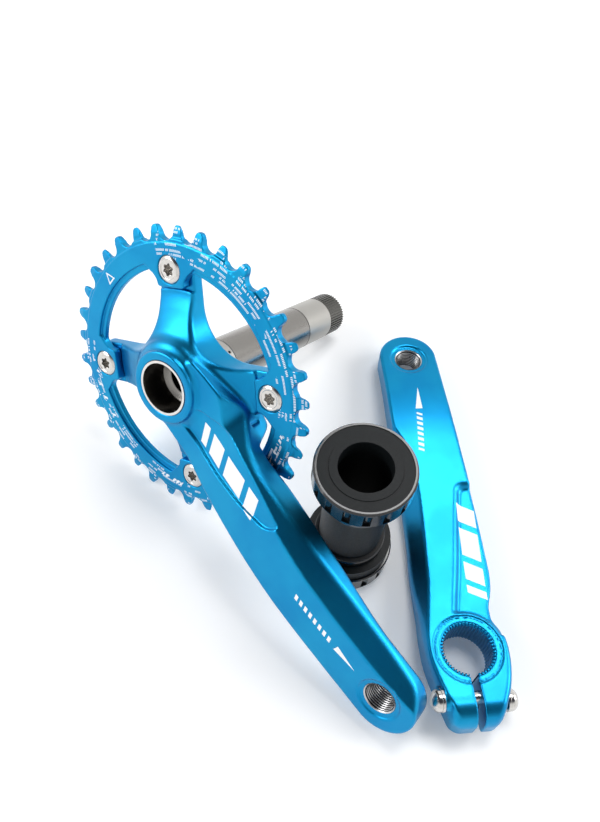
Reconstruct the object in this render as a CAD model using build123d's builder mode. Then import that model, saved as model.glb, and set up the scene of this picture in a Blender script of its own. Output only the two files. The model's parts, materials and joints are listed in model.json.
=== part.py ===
from build123d import *
import os
from math import atan2, cos, degrees, pi, radians, sin, sqrt

os.makedirs("parts", exist_ok=True)

# A bicycle crankset laid out as a kit. The bottom bracket stands on end at the origin, the drive-side crank
# leans on its pedal end, its chainring and its spindle tip, and the left arm lies on its inner face.
# Millimetres. Every piece is modelled in the frame of its own group and moved to its place at the end.

# ---- Running and assembly clearances
RUN = 0.05            # radial, between pieces that turn in one another
FIT = 0.05            # radial, between pieces that are bolted or slid together

# ---- Crank arms. Each arm's frame: X from the spindle axis to the pedal axis, Z outboard
arm_length = 170.0    # spindle axis to pedal axis
pedal_r = 16.5        # half width of the pedal end
pedal_tip = 2.0       # how far the centre of the rounded end lies beyond the pedal axis
pedal_t = 13.5        # thickness of the pedal end
pedal_thread_r = 7.15
pedal_recess_r = 10.3
pedal_recess = 0.8
arm_rise = 11.5       # the pedal end's outer face stands this far outboard of the hub's face
arm_half = 19.0       # half width of the arm at its waist
bevel_w = 8.5         # the wide bevel along one edge, across and down
bevel_h = 9.0
pocket_depth = 1.5    # the lowered panel on the outer face

# ---- Spindle
spindle_r = 12.0
spindle_end = -130.0
spindle_head_r = spindle_r + 1.4       # the head that is pressed into the hub
spindle_head_bore_r = spindle_r + 0.2
spindle_bore_r = spindle_r - 3.4
spindle_head_depth = 14.0
seat_right_end = -26.5
seat_left_start = -93.0
spline_start = -115.5
spline_depth = 0.55
spline_count = 48
seat_groove = 0.25    # the fine line turned at the inner end of each bearing seat, deep
seat_groove_w = 0.6   # and wide
pin_hole_r = 0.8
pin_hole_z = -24.0
pin_hole_turn = 84.0  # degrees round the spindle from the arm

# ---- Drive side. Z = 0 is the middle of the chainring
hub_lip_r = spindle_head_r + 4.3
hub_face = 15.2       # outboard face of the hub's lip
hub_back = -13.0      # inboard face of the hub, against the bottom bracket
hub_back_r = spindle_head_r + 3.1
dome_r = hub_lip_r + 4.3
dome_z = 7.0
spider_w = 21.6       # width of a spider arm
spider_fillet = 24.0
spider_tip_r = 9.0
spider_t = 6.0        # thickness of a spider arm at its seat
spider_face = -0.9    # outboard face of a spider arm beside the chainring's tab
ring_gap = 1.0        # the arm passes this far outboard of the chainring
root_gap = 3.0        # and its root ends this far inside the ring

# ---- Chainring
teeth = 34
chain_pitch = 12.7
roller_r = 3.97
tip_addendum = 3.0    # tooth tip above the pitch circle
ring_t = 4.2          # thickness of the ring's body
tooth_t = 3.8         # a wide tooth
narrow_t = 2.1        # a narrow tooth
tooth_tip_t = 1.5
tooth_gap = 1.42      # the gap's half width at the tips, in roller radii
bolt_count = 4
bolt_circle_r = 52.0
tab_in = 8.0          # how far a tab reaches in from the bolt circle
tab_w_in = 16.0
tab_w_out = 29.0
ring_inner_r = bolt_circle_r + 0.6
ring_ledge_r = ring_inner_r + 2.8
ring_face_drop = 4.6  # the flat face ends this far inside the pitch circle
ring_bolt_head_r = 6.35
ring_bolt_head_t = 2.2
ring_bolt_proud = 0.5  # the bolt heads stand this far above the tabs
ring_bolt_r = 4.0
ring_nut_r = 5.0
ring_nut_flange_r = 6.3
ring_nut_flange_t = 1.4

# ---- Bottom bracket
bb_height = 88.0
cup_flange_t = 11.5
cup_thread_l = 12.0
cup_notch_r = 1.9
cup_notches = 16
cup_rim = 0.35        # the flange's rim stands proud of the dust cover
bush_wall = 0.5
bearing_bore_r = spindle_r + RUN + bush_wall
bearing_r = bearing_bore_r + 5.95
bearing_w = 7.0
race_wall = 1.75
ball_r = 1.75
ball_count = 16
cover_r = bearing_r + 2.2
cover_t = 1.2
cup_flange_r = cover_r + 1.6
bush_flange_r = bearing_bore_r + 3.15
spacer_r = cup_flange_r - 1.4
spacer_t = 2.5
spacer_count = 3
sleeve_wall = 1.5
sleeve_r = spindle_r + 1.8 + sleeve_wall
cup_thread_r = sleeve_r + 2.1
ring_section = 1.6    # the square section of a sealing ring

# ---- Left arm
clamp_t = 17.2
clamp_r = spindle_r + 7.6
clamp_end = clamp_r + 13.4  # the spindle axis to the flat end of the clamp
clamp_end_half = 11.5
clamp_slot = 3.4
clamp_lip_r = spindle_r + 3.2
pinch_x = -spindle_r - 9.0
pinch_r = 3.0
pinch_head_r = 5.2
pinch_head_h = 4.6
pinch_washer_r = 5.4
pinch_washer_t = 1.2
pinch_seat = clamp_r - 4.2  # the slot's middle to the flat that a pinch bolt pulls on
pinch_lug_r = 4.6     # the round lug that carries that flat
pinch_z = (12.4, 4.9)

# ---- Where the groups lie
pedal_place = (18.91, -71.58)  # under the drive arm's pedal end, so a longer arm reaches further back
crank_heading = 230.9  # compass direction that the outboard side of the drive crank faces
left_place = (53.7, -57.5)
left_heading = 94.7

# ---- Worked out
pitch_r = chain_pitch / (2 * sin(pi / teeth))
tip_r = pitch_r + tip_addendum
ring_face_r = pitch_r - ring_face_drop
seat_z = -ring_t / 2 + 0.1
ring_face = seat_z + ring_t
spider_back = seat_z - spider_t
arm_root_x = ring_inner_r - root_gap
drive_pedal_face = hub_face + arm_rise
left_pedal_face = clamp_t + arm_rise


def keep(piece, name, place=Location()):
    placed = piece.moved(place)
    placed.label = name
    export_step(placed, f"parts/{name}.step")


def ring_solid(outer_r, inner_r, low, high):
    with BuildPart() as ring:
        with BuildSketch(Plane.XY.offset(low)):
            Circle(outer_r)
            Circle(inner_r, mode=Mode.SUBTRACT)
        extrude(amount=high - low)
    return ring.part


def arm_blank(hub_half, hub_top, hub_low, root_x, root_low, pedal_face):
    """The plain forging of an arm: its outline seen from outside, kept between its two long faces.
    The inner face lies at hub_low up to root_x, and starts its rise to the pedal end from root_low."""
    end_x = arm_length + pedal_tip
    pedal_low = pedal_face - pedal_t
    with BuildPart() as blank:
        with BuildSketch(Plane.XY.offset(hub_low - 1)):
            with BuildLine():
                left = Spline((0, hub_half), (0.43 * arm_length, 0.9 * arm_half), (end_x, pedal_r),
                              tangents=[(1, 0), (1, 0)])
                tip = ThreePointArc((end_x, pedal_r), (end_x + pedal_r, 0), (end_x, -pedal_r))
                right = Spline((end_x, -pedal_r), (0.5 * arm_length, -1.05 * arm_half), (0, -hub_half),
                               tangents=[(-1, 0), (-1, 0)])
                Line(right @ 1, left @ 0)
            make_face()
        extrude(amount=pedal_face - hub_low + 2)
        with BuildSketch(Plane.XZ):
            with BuildLine():
                top = Spline((0, hub_top), (0.12 * arm_length, hub_top), (0.88 * arm_length, pedal_face),
                             tangents=[(1, 0), (1, 0)])
                Polyline(top @ 1, (end_x + pedal_r + 1, pedal_face), (end_x + pedal_r + 1, pedal_low),
                         (0.88 * arm_length, pedal_low))
                low = Spline((0.88 * arm_length, pedal_low), (root_x + 2, root_low), tangents=[(-1, 0), (-1, 0)])
                Polyline(low @ 1, (root_x, root_low), (root_x - 3, hub_low), (0, hub_low), top @ 0)
            make_face()
        extrude(amount=2 * arm_half, both=True, mode=Mode.INTERSECT)
    return blank.part


def bevel_cutter(hub_half, hub_top, pedal_face):
    """A long wedge that takes the wide bevel off the arm's +Y edge and runs out at both ends."""
    rise = (pedal_face - hub_top) / (0.76 * arm_length)
    stations = ((0.2, 0.15), (0.47, 1.0), (0.85, 0.9), (1.04, 0.1))
    with BuildPart() as wedge:
        for share, size in stations:
            x = share * arm_length
            z = min(hub_top + rise * max(x - 0.12 * arm_length, 0), pedal_face)
            half = hub_half + (arm_half - 1.5 - hub_half) * min(share / 0.47, 1)
            with BuildSketch(Plane.YZ.offset(x)):
                Polygon((half - size * bevel_w, z + 0.4), (half + 4, z + 0.4), (half + 4, z - size * bevel_h),
                        (half + 0.6, z - size * bevel_h), align=None)
        loft(ruled=True)
    return wedge.part


def pedal_cutter(pedal_face):
    with BuildPart() as cutter:
        with BuildSketch(Plane.XY.offset(pedal_face - pedal_recess)):
            with Locations((arm_length, 0)):
                Circle(pedal_recess_r)
        extrude(amount=pedal_recess + 1)
        with BuildSketch(Plane.XY.offset(pedal_face - pedal_t - 1)):
            with Locations((arm_length, 0)):
                Circle(pedal_thread_r)
        extrude(amount=pedal_t + 2)
    return cutter.part


def panel_cutter(outline, hub_top, pedal_face, start, stop):
    """The lowered panel: the given outline, cut to a floor that runs parallel to the arm's outer face."""
    rise = (pedal_face - hub_top) / (0.76 * arm_length)
    z_start = hub_top + rise * (start - 0.12 * arm_length) - pocket_depth
    z_stop = hub_top + rise * (stop - 0.12 * arm_length) - pocket_depth
    with BuildPart() as cutter:
        with BuildSketch(Plane.XY):
            add(outline)
        extrude(amount=pedal_face + 10)
        with BuildSketch(Plane.XZ):
            Polygon((start, z_start), (stop, z_stop), (stop, pedal_face + 10), (start, pedal_face + 10), align=None)
        extrude(amount=3 * arm_half, both=True, mode=Mode.INTERSECT)
    return cutter.part


# ======== Drive side ========

def make_drive_arm():
    """Forged arm and spider. The arm points along +X and the four spider arms lie at 45 degrees to it."""
    seat_r = bolt_circle_r - tab_in - 0.6
    outer_r = bolt_circle_r + 2 * spider_tip_r
    arm_top = hub_face - 2.2
    with BuildPart() as spider:
        with BuildSketch(Plane.XY.offset(spider_back)) as outline:
            with PolarLocations(0, bolt_count, start_angle=45):
                Rectangle(bolt_circle_r, spider_w, align=(Align.MIN, Align.CENTER))
            fillet(outline.vertices().sort_by_distance((0, 0))[:bolt_count], spider_fillet)
            with PolarLocations(bolt_circle_r, bolt_count, start_angle=45):
                Circle(spider_tip_r)
        extrude(amount=hub_face - spider_back)
        with BuildSketch(Plane.XZ):
            with BuildLine():
                lip = Line((hub_lip_r, hub_face), (hub_lip_r, arm_top))
                dome = ThreePointArc(lip @ 1, (dome_r - 0.8, 0.5 * (hub_face + dome_z)), (dome_r + 1, dome_z))
                Polyline(dome @ 1, (seat_r, spider_face), (seat_r, seat_z), (outer_r, seat_z),
                         (outer_r, spider_back), (0, spider_back), (0, hub_face), lip @ 0)
            make_face()
        revolve(axis=Axis.Z, mode=Mode.INTERSECT)
    with BuildSketch(mode=Mode.PRIVATE) as panel:
        with Locations((0.47 * arm_length, -4)):
            SlotOverall(0.5 * arm_length, 15)
    with BuildPart() as drive_arm:
        add(arm_blank(hub_lip_r, arm_top, spider_back, arm_root_x, ring_face + ring_gap, drive_pedal_face))
        add(bevel_cutter(hub_lip_r, arm_top, drive_pedal_face), mode=Mode.SUBTRACT)
        add(panel_cutter(panel.sketch, arm_top, drive_pedal_face, hub_lip_r + 4, 0.8 * arm_length),
            mode=Mode.SUBTRACT)
        with BuildSketch(Plane.XY.offset(seat_z)):
            with PolarLocations(bolt_circle_r, bolt_count, start_angle=45):
                Circle(spider_tip_r + 6.5)
        extrude(amount=2 * arm_rise + hub_face, mode=Mode.SUBTRACT)
        add(spider.part)
        with BuildSketch(Plane.XY.offset(hub_back)):
            Circle(hub_back_r)
        extrude(amount=spider_back - hub_back)
        with BuildSketch(Plane.XY.offset(hub_back - 1)):
            Circle(spindle_head_r)
        extrude(amount=hub_face - hub_back + 2, mode=Mode.SUBTRACT)
        with BuildSketch(Plane.XY.offset(spider_back - 1)):
            with PolarLocations(bolt_circle_r, bolt_count, start_angle=45):
                Circle(ring_nut_r)
        extrude(amount=spider_t + 2, mode=Mode.SUBTRACT)
        add(pedal_cutter(drive_pedal_face), mode=Mode.SUBTRACT)
    return drive_arm.part


def make_spindle():
    """Hollow steel spindle: a head pressed into the hub, two bearing seats and a splined tip."""
    seat_l = spline_start - spindle_end
    spline_r = spindle_r - 0.1
    groove_r = spindle_r - seat_groove
    turn = radians(pin_hole_turn)
    pin_plane = Plane(origin=(0, 0, pin_hole_z), x_dir=(0, 0, 1), z_dir=(cos(turn), sin(turn), 0))
    with BuildPart() as spindle:
        with BuildSketch(Plane.XZ):
            with BuildLine():
                Polyline((spindle_bore_r, spline_start + 2), (spindle_r, spline_start + 2),
                         (spindle_r, seat_left_start), (groove_r, seat_left_start),
                         (groove_r, seat_left_start + seat_groove_w), (spindle_r, seat_left_start + seat_groove_w),
                         (spindle_r, seat_right_end), (groove_r, seat_right_end),
                         (groove_r, seat_right_end + seat_groove_w), (spindle_r, seat_right_end + seat_groove_w),
                         (spindle_r, hub_back), (spindle_head_r, hub_back), (spindle_head_r, hub_face),
                         (spindle_head_bore_r, hub_face), (spindle_head_bore_r, hub_face - spindle_head_depth),
                         (spindle_bore_r, hub_face - spindle_head_depth - 1.5),
                         (spindle_bore_r, spline_start + 2))
            make_face()
        revolve(axis=Axis.Z)
        with BuildSketch(Plane.XY.offset(spindle_end)):
            Circle(spline_r)
            Circle(spindle_bore_r, mode=Mode.SUBTRACT)
            with PolarLocations(spline_r, spline_count):
                Rectangle(2 * spline_depth, 0.5 * 2 * pi * spline_r / spline_count, mode=Mode.SUBTRACT)
        extrude(amount=seat_l)
        with BuildSketch(Plane.XY.offset(spline_start)):
            Circle(spindle_r)
            Circle(spindle_bore_r, mode=Mode.SUBTRACT)
        extrude(amount=2)
        with BuildSketch(pin_plane):
            Circle(pin_hole_r)
        extrude(amount=2 * spindle_r, mode=Mode.SUBTRACT)
    return spindle.part


def make_chainring():
    """Narrow-wide ring: rollers leave round gaps, every second tooth is thinned on both sides."""
    gap_half = tooth_gap * roller_r
    body_low = seat_z
    with BuildPart() as chainring:
        with BuildSketch(Plane.XY.offset(body_low)) as outline:
            Circle(tip_r)
            with PolarLocations(pitch_r, teeth, start_angle=45 + 180 / teeth):
                Circle(roller_r, mode=Mode.SUBTRACT)
                Polygon((0, -roller_r), (tip_addendum + 1, -gap_half), (tip_addendum + 1, gap_half),
                        (0, roller_r), align=None, mode=Mode.SUBTRACT)
            Circle(ring_inner_r, mode=Mode.SUBTRACT)
            with PolarLocations(0, bolt_count, start_angle=45):
                Polygon((bolt_circle_r - tab_in, -tab_w_in / 2), (ring_inner_r + 3, -tab_w_out / 2),
                        (ring_inner_r + 3, tab_w_out / 2), (bolt_circle_r - tab_in, tab_w_in / 2), align=None)
        extrude(amount=ring_t)
        with BuildSketch(Plane.XZ):
            Polygon((0, body_low), (ring_face_r, body_low), (ring_face_r + 1.5, -tooth_t / 2),
                    (pitch_r - 1.5, -tooth_t / 2), (tip_r + 0.5, -tooth_tip_t / 2),
                    (tip_r + 0.5, tooth_tip_t / 2), (pitch_r - 1.5, tooth_t / 2),
                    (ring_face_r + 1.5, tooth_t / 2), (ring_face_r, ring_face), (0, ring_face), align=None)
        revolve(axis=Axis.Z, mode=Mode.INTERSECT)
        for side in (1, -1):
            with BuildSketch(Plane.XY.offset(side * narrow_t / 2)):
                with PolarLocations(0, teeth // 2, start_angle=45):
                    Polygon((pitch_r - roller_r + 0.8, -chain_pitch / 2.2), (tip_r + 1, -chain_pitch / 2.2),
                            (tip_r + 1, chain_pitch / 2.2), (pitch_r - roller_r + 0.8, chain_pitch / 2.2),
                            align=None)
            extrude(amount=side * 3, mode=Mode.SUBTRACT)
        with BuildSketch(Plane.XY.offset(ring_face - 1.4)):
            Circle(ring_ledge_r)
            with PolarLocations(0, bolt_count, start_angle=45):
                Polygon((bolt_circle_r - tab_in - 1, -tab_w_in / 2 - 0.4), (ring_ledge_r + 1, -tab_w_out / 2),
                        (ring_ledge_r + 1, tab_w_out / 2), (bolt_circle_r - tab_in - 1, tab_w_in / 2 + 0.4),
                        align=None, mode=Mode.SUBTRACT)
        extrude(amount=3, mode=Mode.SUBTRACT)
        with BuildSketch(Plane.XY.offset(body_low - 1)):
            with PolarLocations(bolt_circle_r, bolt_count, start_angle=45):
                Circle(ring_nut_r)
        extrude(amount=ring_t + 2, mode=Mode.SUBTRACT)
        with BuildSketch(Plane.XY.offset(ring_face - ring_bolt_head_t + ring_bolt_proud)):
            with PolarLocations(bolt_circle_r, bolt_count, start_angle=45):
                Circle(ring_bolt_head_r + FIT)
        extrude(amount=ring_t, mode=Mode.SUBTRACT)
    return chainring.part


def make_ring_bolts():
    head_low = ring_face - ring_bolt_head_t + ring_bolt_proud
    shank_low = spider_back - ring_nut_flange_t + 0.3
    with BuildPart() as bolts:
        with BuildSketch(Plane.XY.offset(head_low)):
            with PolarLocations(bolt_circle_r, bolt_count, start_angle=45):
                Circle(ring_bolt_head_r)
        extrude(amount=ring_bolt_head_t)
        chamfer(bolts.faces().filter_by(Plane.XY).sort_by(Axis.Z)[-bolt_count:].edges(), 0.5)
        with BuildSketch(Plane.XY.offset(shank_low)):
            with PolarLocations(bolt_circle_r, bolt_count, start_angle=45):
                Circle(ring_bolt_r)
        extrude(amount=head_low - shank_low)
        with BuildSketch(Plane.XY.offset(head_low + 0.3)):
            with PolarLocations(bolt_circle_r, bolt_count, start_angle=45):
                RegularPolygon(2.9, 6)
                with PolarLocations(2.5, 6):
                    Circle(0.85)
        extrude(amount=ring_bolt_head_t, mode=Mode.SUBTRACT)
    return bolts.part


def make_ring_nuts():
    barrel_top = ring_face - ring_bolt_head_t + ring_bolt_proud - 0.6
    with BuildPart() as nuts:
        with BuildSketch(Plane.XY.offset(spider_back - ring_nut_flange_t)):
            with PolarLocations(bolt_circle_r, bolt_count, start_angle=45):
                Circle(ring_nut_flange_r)
                Circle(ring_bolt_r + FIT, mode=Mode.SUBTRACT)
        extrude(amount=ring_nut_flange_t)
        with BuildSketch(Plane.XY.offset(spider_back)):
            with PolarLocations(bolt_circle_r, bolt_count, start_angle=45):
                Circle(ring_nut_r - FIT)
                Circle(ring_bolt_r + FIT, mode=Mode.SUBTRACT)
        extrude(amount=barrel_top - spider_back)
    return nuts.part


# ======== Bottom bracket. Z = 0 is the outer face of each cup, +Z towards the middle of the shell ========

def make_cup():
    """Threaded cup: a notched flange that holds the bearing, and a threaded neck."""
    length = cup_flange_t + cup_thread_l
    cover_low = cup_rim
    pocket = cover_low + cover_t
    with BuildPart() as cup:
        with BuildSketch(Plane.XZ):
            with BuildLine():
                Polyline((cover_r + FIT, 0), (cup_flange_r - 0.8, 0), (cup_flange_r, 0.8),
                         (cup_flange_r, cup_flange_t - 0.6), (cup_flange_r - 0.6, cup_flange_t),
                         (cup_thread_r, cup_flange_t), (cup_thread_r, length - 0.8),
                         (cup_thread_r - 0.8, length), (sleeve_r + FIT, length),
                         (sleeve_r + FIT, pocket + bearing_w), (bearing_r, pocket + bearing_w),
                         (bearing_r, pocket), (cover_r + FIT, pocket), (cover_r + FIT, 0))
            make_face()
        revolve(axis=Axis.Z)
        with BuildSketch(Plane.XY.offset(1.6)):
            with PolarLocations(cup_flange_r + 0.7, cup_notches):
                Circle(cup_notch_r)
        extrude(amount=cup_flange_t - 2.8, mode=Mode.SUBTRACT)
    return cup.part


def bearing_middle():
    return cup_rim + cover_t + bearing_w / 2


def race_track_r():
    return 0.5 * (bearing_bore_r + bearing_r)


def make_race(outer_r, inner_r):
    with BuildPart() as race:
        with BuildSketch(Plane.XY.offset(bearing_middle() - bearing_w / 2)):
            Circle(outer_r)
            Circle(inner_r, mode=Mode.SUBTRACT)
        extrude(amount=bearing_w)
        with BuildSketch(Plane.XZ):
            with Locations((race_track_r(), bearing_middle())):
                Circle(ball_r + RUN)
        revolve(axis=Axis.Z, mode=Mode.SUBTRACT)
    return race.part


def make_balls():
    with BuildPart() as balls:
        with Locations((0, 0, bearing_middle())):
            with PolarLocations(race_track_r(), ball_count):
                Sphere(ball_r)
    return balls.part


def make_cage():
    height = 2 * ball_r + 1.3
    with BuildPart() as cage:
        with BuildSketch(Plane.XY.offset(bearing_middle() - height / 2)):
            Circle(race_track_r() + 0.5)
            Circle(race_track_r() - 0.5, mode=Mode.SUBTRACT)
        extrude(amount=height)
        with Locations((0, 0, bearing_middle())):
            with PolarLocations(race_track_r(), ball_count):
                Cylinder(ball_r + RUN, 2, rotation=(0, 90, 0), mode=Mode.SUBTRACT)
    return cage.part


def make_bush():
    """Top-hat bush: a thin tube in the inner race with a flange that covers it."""
    with BuildPart() as bush:
        with BuildSketch(Plane.XZ):
            Polygon((spindle_r + RUN, 0), (bush_flange_r, 0), (bush_flange_r, cup_rim + cover_t - 0.2),
                    (bearing_bore_r + 1, cup_rim + cover_t - 0.2), (bearing_bore_r + 1, cup_rim + cover_t),
                    (bearing_bore_r, cup_rim + cover_t), (bearing_bore_r, cup_rim + cover_t + bearing_w),
                    (spindle_r + RUN, cup_rim + cover_t + bearing_w), align=None)
        revolve(axis=Axis.Z)
    return bush.part


# ======== Left arm ========

def make_left_arm():
    """Forged arm with a split clamp. The slot runs from the bore to the flat end, along -X."""
    with BuildSketch(mode=Mode.PRIVATE) as clamp_outline:
        with BuildLine():
            Polyline((0.25 * clamp_r, clamp_r), (-0.2 * clamp_r, clamp_r), (-0.8 * clamp_r, 0.86 * clamp_r),
                     (2 - clamp_end, clamp_end_half + 2), (-clamp_end, clamp_end_half),
                     (-clamp_end, 3 - clamp_end_half), (2 - clamp_end, 1 - clamp_end_half),
                     (-0.95 * clamp_r, -0.86 * clamp_r), (-0.3 * clamp_r, -clamp_r),
                     (0.25 * clamp_r, -clamp_r), (0.25 * clamp_r, clamp_r))
        make_face()
    with BuildSketch(mode=Mode.PRIVATE) as panel:
        with BuildLine():
            side = Line((clamp_r + 3, 0), (0.47 * arm_length, -0.65 * arm_half))
            nose = ThreePointArc(side @ 1, (0.5 * arm_length, -0.8 * arm_half), (0.51 * arm_length, -2 * arm_half))
            Polyline(nose @ 1, (clamp_r + 3, -2 * arm_half), side @ 0)
        make_face()
    bore_r = spindle_r - 0.1 - spline_depth + RUN
    with BuildPart() as left_arm:
        add(arm_blank(clamp_r - 1, clamp_t, 0, clamp_r + 6, 2.0, left_pedal_face))
        add(bevel_cutter(clamp_r - 1, clamp_t, left_pedal_face), mode=Mode.SUBTRACT)
        add(panel_cutter(panel.sketch, clamp_t, left_pedal_face, clamp_r + 3, 0.6 * arm_length),
            mode=Mode.SUBTRACT)
        with BuildSketch(Plane.XY):
            add(clamp_outline.sketch)
            Circle(clamp_r)
        extrude(amount=clamp_t)
        with BuildSketch(Plane.XY.offset(-1)):
            Circle(bore_r)
            with PolarLocations(spindle_r - 0.1, spline_count):
                Rectangle(2 * spline_depth, 0.46 * 2 * pi * spindle_r / spline_count)
        extrude(amount=clamp_t + 2, mode=Mode.SUBTRACT)
        with BuildSketch(Plane.XY.offset(clamp_t - 0.6)):
            Circle(clamp_lip_r)
        extrude(amount=2, mode=Mode.SUBTRACT)
        with BuildSketch(Plane.XY.offset(-1)):
            Rectangle(clamp_end + 2, clamp_slot, align=(Align.MAX, Align.CENTER))
        extrude(amount=clamp_t + 2, mode=Mode.SUBTRACT)
        for z, side in zip(pinch_z, (1, -1)):
            with BuildSketch(Plane.XZ.offset(-side * clamp_slot)):
                with Locations((pinch_x, z)):
                    Circle(pinch_lug_r)
            extrude(amount=-side * (pinch_seat - clamp_slot))
        for z, side in zip(pinch_z, (1, -1)):
            with BuildSketch(Plane.XZ):
                with Locations((pinch_x, z)):
                    Circle(pinch_r + FIT)
            extrude(amount=-side * 2 * clamp_r, mode=Mode.SUBTRACT)
            with BuildSketch(Plane.XZ):
                with Locations((pinch_x, z)):
                    Circle(pinch_r + FIT)
            extrude(amount=side * (pinch_seat - 4), mode=Mode.SUBTRACT)
            with BuildSketch(Plane.XZ.offset(-side * pinch_seat)):
                with Locations((pinch_x, z)):
                    Circle(pinch_washer_r + 0.4)
            extrude(amount=-side * clamp_r, mode=Mode.SUBTRACT)
        add(pedal_cutter(left_pedal_face), mode=Mode.SUBTRACT)
    return left_arm.part


def make_pinch_bolt(z, side):
    seat = pinch_seat + pinch_washer_t
    with BuildPart() as bolt:
        with BuildSketch(Plane.XZ.offset(-side * seat)):
            with Locations((pinch_x, z)):
                Circle(pinch_head_r)
        extrude(amount=-side * pinch_head_h)
        rim = bolt.edges().filter_by(GeomType.CIRCLE).sort_by(Axis.Y)[-1 if side > 0 else 0]
        fillet(rim, 0.55 * pinch_head_h)
        with BuildSketch(Plane.XZ.offset(-side * seat)):
            with Locations((pinch_x, z)):
                Circle(pinch_r)
        extrude(amount=side * (seat + pinch_seat - 5))
        with BuildSketch(Plane.XZ.offset(-side * (seat + pinch_head_h - 3))):
            with Locations((pinch_x, z)):
                RegularPolygon(2.9, 6)
        extrude(amount=-side * 4, mode=Mode.SUBTRACT)
    return bolt.part


def make_pinch_washer(z, side):
    with BuildPart() as washer:
        with BuildSketch(Plane.XZ.offset(-side * pinch_seat)):
            with Locations((pinch_x, z)):
                Circle(pinch_washer_r)
                Circle(pinch_r + FIT, mode=Mode.SUBTRACT)
        extrude(amount=-side * pinch_washer_t)
    return washer.part


# ======== Resting places ========

def lowest(centre, radius, up):
    """The lowest point of a circle square to Z, when up is the given direction."""
    flat = sqrt(up.X ** 2 + up.Y ** 2)
    return centre - Vector(up.X, up.Y, 0) * (radius / flat)


def crank_rest():
    """The drive crank stands on its pedal end, its chainring and its spindle tip."""
    up = Vector(0.3, 0.8, 0.45).normalized()
    for _ in range(40):
        ring = lowest(Vector(0, 0, 0), tip_r, up)
        pedal = lowest(Vector(arm_length + pedal_tip, 0, drive_pedal_face - pedal_t), pedal_r, up)
        tip = lowest(Vector(0, 0, spindle_end), spindle_r - 0.1, up)
        new = (pedal - ring).cross(tip - ring).normalized()
        if new.dot(up) < 0:
            new = new * -1
        up = (up + new).normalized()
    height = -min(ring.dot(up), pedal.dot(up), tip.dot(up))
    pedal_end = (arm_length + pedal_tip, 0, drive_pedal_face - pedal_t)
    return place_from_up(up, crank_heading, pedal_end, pedal_place, height)


def place_from_up(up, heading, point, place, height):
    """Turn a group so that up points up and its own Z leans towards the compass heading, and stand
    the given point of the group over the given place."""
    lean = (Vector(0, 0, 1) - up * up.Z).normalized()
    turn = radians(heading)
    x_axis = lean * cos(turn) - up.cross(lean) * sin(turn)
    to_local = Plane(origin=(0, 0, 0), x_dir=x_axis, z_dir=up).location
    upright = to_local.inverse()
    spot = (upright * Location(point)).position
    return Location((place[0] - spot.X, place[1] - spot.Y, height)) * upright


def left_rest():
    """The left arm lies on its clamp's inner face and the inner edge of its pedal end."""
    far = Vector(arm_length + pedal_tip + pedal_r, 0, left_pedal_face - pedal_t)
    near = Vector(clamp_r, 0, 0)
    tilt = atan2(far.Z - near.Z, far.X - near.X)
    height = near.X * sin(tilt)
    turn = Location((0, 0, 0), (0, 0, left_heading)) * Location((0, 0, 0), (0, degrees(tilt), 0))
    return Location((left_place[0], left_place[1], height)) * turn


def main():
    crank = crank_rest()
    keep(make_drive_arm(), "drive_arm", crank)
    keep(make_spindle(), "spindle", crank)
    keep(make_chainring(), "chainring", crank)
    keep(make_ring_bolts(), "chainring_bolts", crank)
    keep(make_ring_nuts(), "chainring_nuts", crank)

    lower = Location((0, 0, 0))
    upper = Location((0, 0, bb_height), (180, 0, 0))
    for name, place in (("lower", lower), ("upper", upper)):
        keep(make_cup(), f"bb_cup_{name}", place)
        keep(make_race(bearing_r, bearing_r - race_wall), f"outer_race_{name}", place)
        keep(make_race(bearing_bore_r + race_wall, bearing_bore_r), f"inner_race_{name}", place)
        keep(make_balls(), f"balls_{name}", place)
        keep(make_cage(), f"ball_cage_{name}", place)
        seal_low = bearing_middle() - bearing_w / 2 + 0.1
        seal = ring_solid(bearing_r - race_wall, bearing_bore_r + race_wall + RUN, seal_low, seal_low + 0.5)
        keep(seal, f"seal_{name}", place)
        cover = ring_solid(cover_r, bush_flange_r + 2 * RUN, cup_rim, cup_rim + cover_t)
        keep(cover, f"dust_cover_{name}", place)
        keep(make_bush(), f"top_hat_bush_{name}", place)

    shoulder = cup_rim + cover_t + bearing_w
    neck = cup_flange_t + cup_thread_l
    keep(ring_solid(sleeve_r, sleeve_r - sleeve_wall, shoulder + 0.5, bb_height - shoulder - 0.5), "bb_sleeve")
    with BuildPart() as spacers:
        for index in range(spacer_count):
            low = cup_flange_t + index * spacer_t
            with BuildSketch(Plane.XY.offset(low + 0.05)):
                Circle(spacer_r)
                Circle(cup_thread_r + FIT, mode=Mode.SUBTRACT)
            extrude(amount=spacer_t - 0.1)
    keep(spacers.part, "bb_spacers")
    with BuildPart() as o_rings:
        for low in (neck, bb_height - neck - ring_section):
            with BuildSketch(Plane.XY.offset(low)):
                Circle(sleeve_r + ring_section)
                Circle(sleeve_r, mode=Mode.SUBTRACT)
            extrude(amount=ring_section)
    keep(o_rings.part, "bb_o_rings")

    left = left_rest()
    keep(make_left_arm(), "left_arm", left)
    for name, z, side in zip(("upper", "lower"), pinch_z, (1, -1)):
        keep(make_pinch_bolt(z, side), f"pinch_bolt_{name}", left)
        keep(make_pinch_washer(z, side), f"pinch_washer_{name}", left)


main()
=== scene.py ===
# %% [markdown]
# A bicycle crankset, laid out as a kit on a pale table: the drive crank with its ring and its spindle, the
# bottom bracket standing on end, and the left arm lying flat. The measured model gives the size and the
# place of every piece. This lesson adds the looks: satin blue anodising, ground and plated steel, black
# plastic, and soft light.

# %% Load the measured model
import bpy
import json
import math
import numpy as np
from mathutils import Matrix, Vector


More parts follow.
